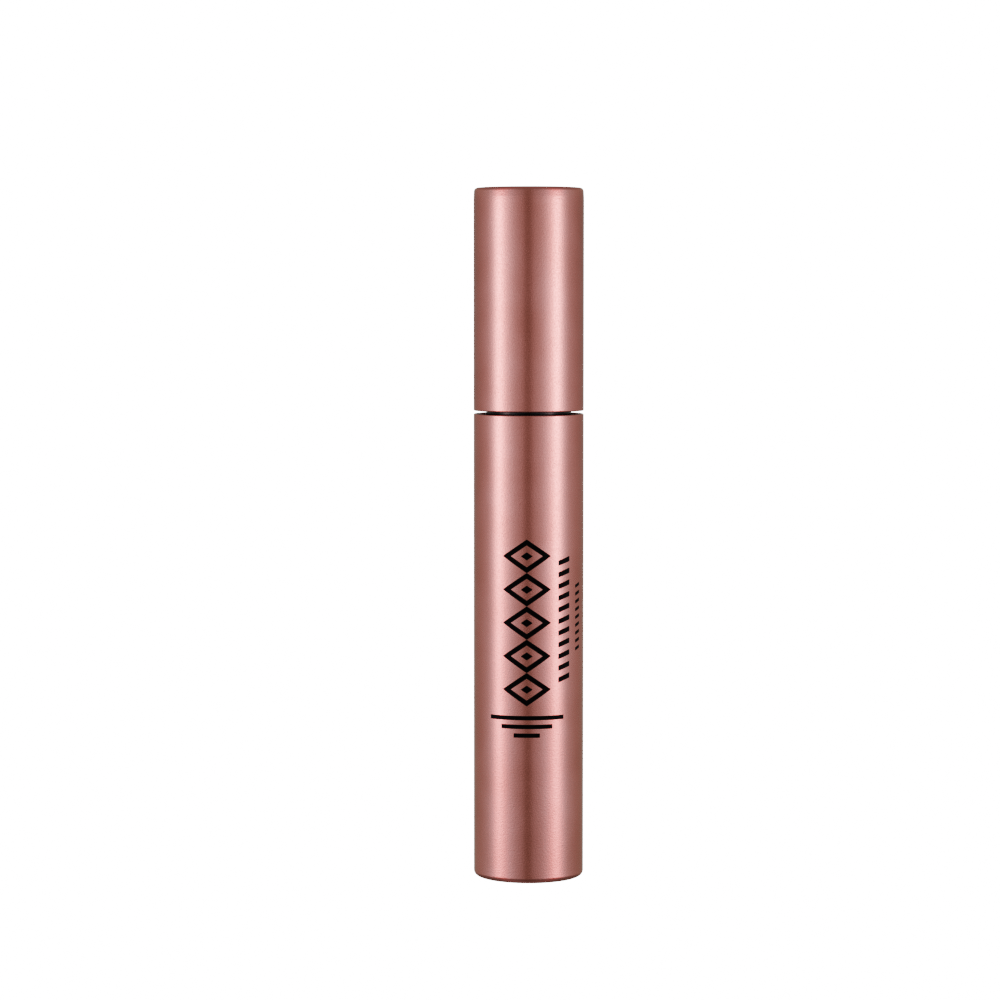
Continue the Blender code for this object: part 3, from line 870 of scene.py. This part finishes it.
def bristles(angles, levels, sides=6, rings=7):
    """Points and faces of all bristles at once, in mm.

    A bristle is a tapered tube round a centre line that leaves the brush's axis at right angles.
    At share t of its length the centre line has reached t of the way to the tip and has drifted by
    t squared of the bristle's own bend, along the brush and round it. Its radius falls from root to
    end, swells in a bead of paste near the tip, and closes in over the last ring. Bristles close to
    the ends of the brush are up to half a millimetre shorter.
    """
    count = len(angles)
    ends = np.minimum(levels - BRUSH_LOW, BRUSH_HIGH - levels)
    tip = BRISTLE_TIP - 0.5 * np.exp(-ends / 0.5) + random.normal(0, 0.07, count)
    bend_along = random.normal(0, 0.07, count) * np.where(random.random(count) < 0.12, 2.6, 1)
    bend_round = random.normal(0, 0.05, count)
    bead_size = np.clip(random.normal(0.4, 0.45, count), 0, 1.6)
    bead_place = random.uniform(0.72, 0.96, count)
    t = np.linspace(0, 1, rings)[:, None]
    reach = BRISTLE_FOOT + t * (np.clip(tip, 0, BRISTLE_LONGEST) - BRISTLE_FOOT)
    along = np.clip(levels + t ** 2 * bend_along, BRUSH_LOW + END_MARGIN, BRUSH_HIGH - END_MARGIN)
    turn = angles + t ** 2 * bend_round
    thick = BRISTLE_ROOT_RADIUS + t * (BRISTLE_END_RADIUS - BRISTLE_ROOT_RADIUS)
    thick = thick * (1 + bead_size * np.exp(-((t - bead_place) / 0.13) ** 2))
    thick = np.where(t > 0.999, thick * 0.45, thick)
    out = np.stack((np.cos(turn), np.sin(turn), np.zeros_like(turn)), axis=-1)
    round_way = np.stack((-np.sin(turn), np.cos(turn), np.zeros_like(turn)), axis=-1)
    centre = out * reach[..., None]
    centre[..., 2] = along
    around = np.linspace(0, FULL_TURN, sides, endpoint=False)[:, None]
    upward = np.array((0, 0, 1.0))
    points = (centre[:, :, None] + thick[:, :, None, None] * (
        np.cos(around) * round_way[:, :, None] + np.sin(around) * upward))
    points = np.moveaxis(points, 1, 0)
    ring = np.arange(count * rings * sides).reshape(count, rings, sides)
    beside = np.roll(ring, -1, axis=2)
    quads = np.stack((ring[:, :-1], beside[:, :-1], beside[:, 1:], ring[:, 1:]), axis=-1)
    caps = ring[:, -1].tolist() + ring[:, 0, ::-1].tolist()
    return points.reshape(-1, 3), quads.reshape(-1, 4).tolist() + caps


row_length = BRUSH_HIGH - LAST_BRISTLE - (BRUSH_LOW + FIRST_BRISTLE)
in_row = math.floor(row_length / BRISTLE_PITCH) + 1
row, place_in_row = np.meshgrid(np.arange(BRISTLE_ROWS), np.arange(in_row), indexing="ij")
bristle_angles = (row * FULL_TURN / BRISTLE_ROWS).ravel()
bristle_levels = (BRUSH_LOW + FIRST_BRISTLE + BRISTLE_PITCH * place_in_row).ravel()
bristle_angles = bristle_angles + random.normal(0, 0.012, len(bristle_angles))
points, faces = bristles(bristle_angles, bristle_levels)
sleeve_points, sleeve_faces = turned(rounded([
    (0, BRUSH_LOW + SLEEVE_TIP_THICKNESS, 0),
    (SPINE_RADIUS + FIT, BRUSH_LOW + SLEEVE_TIP_THICKNESS, 0.05),
    (SPINE_RADIUS + FIT, BRUSH_HIGH, 0.05),
    (SLEEVE_RADIUS, BRUSH_HIGH, 0.15),
    (SLEEVE_RADIUS, BRUSH_LOW, 0.6),
    (0, BRUSH_LOW, 0),
]), sides=64)
faces += [[corner + len(points) for corner in face] for face in sleeve_faces]
points = np.concatenate((points, sleeve_points))
bristle_piece = new_piece("bristle_rows", points, faces, "applicator", sharp=math.radians(70))
bristle_piece.data.materials.append(black_elastomer("bristle_elastomer", 0.22, 0.45))
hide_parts("bristle_sleeve")


# ---- Paste on the brush ------------------------------------------------------------------------
# Drawn through the wiper, the brush keeps a coat of paste: it fills the gaps between the
# bristles to two thirds of their height, in small lumps that climb each bristle a little.

COAT_RADIUS = 2.78
COAT_LUMPS = 0.16
CLIMB_HEIGHT = 0.3
COAT_ABOVE_TIP = 0.1
COAT_END_LENGTH = 1.1
COAT_END_SHARE = 0.55


def smooth_random(rows, columns, row_grain, column_grain, generator):
    """A grid of smooth random heights, with variance one: white noise whose waves are damped by a
    bell curve of their frequency, so that it repeats round the brush without a seam."""
    waves = np.fft.fft2(generator.normal(size=(rows, columns)))
    row_wave = np.fft.fftfreq(rows)[:, None] * row_grain
    column_wave = np.fft.fftfreq(columns)[None, :] * column_grain
    heights = np.fft.ifft2(waves * np.exp(-(row_wave ** 2 + column_wave ** 2) * 4)).real
    return heights / heights.std()


def coat(rows=330, columns=200):
    """Points and faces of the coat, in mm.

    The height z goes down the brush and the angle a round it. The radius is the coat's own, plus
    smooth random lumps, plus a rise at each bristle's foot: cos(rows of bristles * a) times
    cos(2 pi z / pitch), sharpened. Over its last millimetre at both ends it rounds off, by a
    quarter circle, to about half the radius.
    """
    top, foot = BRUSH_HIGH - FIT, BRUSH_LOW + COAT_ABOVE_TIP
    level = np.linspace(top, foot, rows)[:, None]
    angle = np.linspace(0, FULL_TURN, columns, endpoint=False)[None, :]
    lumps = 0.65 * smooth_random(rows, columns, 9, 14, random)
    lumps = lumps + 0.5 * smooth_random(rows, columns, 26, 40, random)
    along = np.cos(FULL_TURN * (level - BRUSH_LOW - FIRST_BRISTLE) / BRISTLE_PITCH)
    feet = np.clip(0.5 + 0.5 * np.cos(BRISTLE_ROWS * angle), 0, 1) ** 2
    climb = feet * (0.5 + 0.5 * along)
    from_end = np.minimum(level - foot, top - level)
    rounding = np.sqrt(1 - (1 - np.clip(from_end / COAT_END_LENGTH, 0, 1)) ** 2)
    radius = COAT_RADIUS + COAT_LUMPS * lumps + CLIMB_HEIGHT * climb
    radius = radius * (COAT_END_SHARE + (1 - COAT_END_SHARE) * rounding)
    grid = np.stack(np.broadcast_arrays(radius * np.cos(angle), radius * np.sin(angle), level), axis=-1)
    poles = ((0, 0, level[0, 0]), (0, 0, level[-1, 0]))
    return np.concatenate((grid.reshape(-1, 3), poles)), turned_faces(rows, columns, False, True, True)


points, faces = coat()
brush_coat = new_piece("paste_on_bristles", points, faces, "applicator", sharp=math.radians(80))
brush_coat.data.materials.append(wet_black_paste)


# ---- Studio ------------------------------------------------------------------------------------
# A white sweep, floor and walls in one, that only the camera sees. The light comes from the
# world: two tall graded diffusers, left and right of the camera, on a dim grey surround.

SWEEP_RADIUS = 1900.0
SWEEP_HEIGHT = 1600.0
SWEEP_BEND = 700.0
SWEEP_LIGHT = 3.3
# The brightness of the light by its angle round the object, in degrees, where 0 is the camera's
# side and 180 is behind the object.
DIFFUSER_PROFILE = (
    (0, 0.27), (5, 0.285), (11, 0.4), (22, 0.48), (31, 0.61), (40, 0.9), (49, 1.42), (57, 2.6),
    (64, 3.15), (70, 2.15), (78, 0.96), (90, 0.51), (102, 0.4), (117, 0.34), (135, 0.3),
    (150, 0.27), (165, 0.26), (180, 0.26))
DIFFUSER_TURN = math.radians(2)
# Brightnesses of the light, and its tint at each of them.
LEVELS_TINTED = (0.28, 0.42, 0.8, 1.5, 2.8)
LIGHT_TINTS = (
    (0.97, 0.99, 0.93), (0.98, 1.08, 1.09), (0.96, 1.05, 1.1), (1.05, 0.93, 0.96), (1.1, 0.9, 0.93))
SOFTENED_AT = 1.5
PLAIN_LEVEL = 0.27
BRIGHTEST = 4.0
# At each height of a direction, from -1 below to 1 above: how sharp the diffusers are, how bright
# it is there as a whole, and how far the diffusers give way to the plain surround.
LIGHT_BY_HEIGHT = (
    (-0.45, 0.0, 0.62, 0.8), (-0.3, 0.0, 0.85, 0.65), (-0.25, 0.1, 0.88, 0.45), (-0.2, 0.28, 0.86, 0.18),
    (-0.155, 0.4, 0.88, 0.0), (-0.12, 0.55, 0.93, 0.0), (-0.07, 0.8, 1.0, 0.0), (0.0, 1.0, 1.0, 0.0),
    (0.04, 0.9, 0.95, 0.0), (0.1, 0.25, 0.94, 0.2), (0.2, 0.0, 1.0, 0.55), (0.34, 0.0, 0.95, 0.7),
    (0.6, 0.0, 0.9, 0.8), (0.8, 0.0, 0.95, 0.9), (0.95, 0.0, 1.0, 1.0))
CAMERA_PLACE = (-4.95, -547.6, 101.4)
CAMERA_TILT = math.radians(86.226)
CAMERA_LENS = 114.35

sweep_outline = rounded([
    (0, SWEEP_HEIGHT, 0),
    (SWEEP_RADIUS, SWEEP_HEIGHT, SWEEP_BEND),
    (SWEEP_RADIUS, 0, SWEEP_BEND),
    (0, 0, 0),
])
points, faces = turned(sweep_outline, sides=96)
sweep = bpy.data.objects.new("white_sweep", bpy.data.meshes.new("white_sweep"))
sweep.data.from_pydata((points * MM).tolist(), [], faces)
bpy.context.scene.collection.objects.link(sweep)
white = bpy.data.materials.new("lit_white_paper")
white.use_nodes = True
white.node_tree.nodes.clear()
tree = white.node_tree
glow = add_node(tree, "Emission", {"Color": linear("#ffffff"), "Strength": SWEEP_LIGHT})
# Only the backs of its faces glow, and they look inwards, so from below the floor the sweep is
# clear and hides nothing.
inside = add_node(tree, "NewGeometry").outputs["Backfacing"]
one_sided = add_node(tree, "MixShader", {0: inside, 1: add_node(tree, "BsdfTransparent"), 2: glow})
add_node(tree, "OutputMaterial", {"Surface": one_sided})
sweep.data.materials.append(white)
sweep.visible_diffuse = False
sweep.visible_glossy = False
sweep.visible_transmission = False
sweep.visible_shadow = False

world = bpy.data.worlds.new("studio_light")
bpy.context.scene.world = world
world.use_nodes = True
tree = world.node_tree
tree.nodes.clear()
toward = add_node(tree, "Mapping", {
    "Vector": add_node(tree, "TexCoord").outputs["Generated"], "Rotation": (0, 0, DIFFUSER_TURN)})
direction = add_node(tree, "SeparateXYZ", {0: toward})
x, y, z = (direction.outputs[axis] for axis in "XYZ")
sideways = add_node(tree, "Math", {0: x}, operation="ABSOLUTE")
forwards = add_node(tree, "Math", {0: y, 1: -1.0}, operation="MULTIPLY")
from_front = add_node(tree, "Math", {0: sideways, 1: forwards}, operation="ARCTAN2")
around = add_node(tree, "Math", {0: from_front, 1: math.pi}, operation="DIVIDE")
upwards = add_node(tree, "MapRange", {"Value": z, "From Min": -1.0})
profile = np.array(DIFFUSER_PROFILE)
level = profile[:, 1]
tints = np.stack([np.interp(level, LEVELS_TINTED, tint) for tint in zip(*LIGHT_TINTS)], axis=1)
# The floor and ceiling throw the diffusers' light back softer and rosier: a level L comes back as
# L / (1 + (L / SOFTENED_AT) ** 1.5), times 1 in front and rising evenly to 1.7 behind.
softened = (1 + 0.7 * profile[:, 0] / 180) * level / (1 + (level / SOFTENED_AT) ** 1.5)
by_height = np.array(LIGHT_BY_HEIGHT)
sharp = add_node(tree, "ValToRGB", {0: around})
soft = add_node(tree, "ValToRGB", {0: around})
grading = add_node(tree, "ValToRGB", {0: upwards})
for node, positions, colours in (
    (sharp, profile[:, 0] / 180, tints * level[:, None] / BRIGHTEST),
    (soft, profile[:, 0] / 180, tints ** 2.5 * softened[:, None] / BRIGHTEST),
    (grading, (by_height[:, 0] + 1) / 2, by_height[:, 1:]),
):
    node.color_ramp.interpolation = "LINEAR" if node == grading else "CARDINAL"
    stops = node.color_ramp.elements
    while len(stops) < len(positions):
        stops.new(0.5)
    for stop, position, colour in zip(stops, positions.tolist(), colours.tolist()):
        stop.position = position
        stop.color = (*colour, 1.0)
share = add_node(tree, "SeparateColor", {0: grading})
light = add_node(tree, "Mix", {"Factor": share.outputs["Red"], 6: soft, 7: sharp}, data_type="RGBA")
plain = (*(PLAIN_LEVEL / BRIGHTEST * np.array(LIGHT_TINTS[0])).tolist(), 1.0)
light = add_node(tree, "Mix", {
    "Factor": share.outputs["Blue"], 6: light.outputs[2], 7: plain}, data_type="RGBA")
strength = add_node(tree, "Math", {0: share.outputs["Green"], 1: BRIGHTEST}, operation="MULTIPLY")
background = add_node(tree, "Background", {"Color": light.outputs[2], "Strength": strength})
add_node(tree, "OutputWorld", {"Surface": background})

camera = bpy.data.objects.new("camera", bpy.data.cameras.new("camera"))
bpy.context.scene.collection.objects.link(camera)
camera.location = [place * MM for place in CAMERA_PLACE]
camera.rotation_euler = (CAMERA_TILT, 0, 0)
camera.data.lens = CAMERA_LENS
bpy.context.scene.camera = camera
bpy.context.scene.view_settings.view_transform = "AgX"
bpy.context.scene.view_settings.look = "AgX - Very High Contrast"
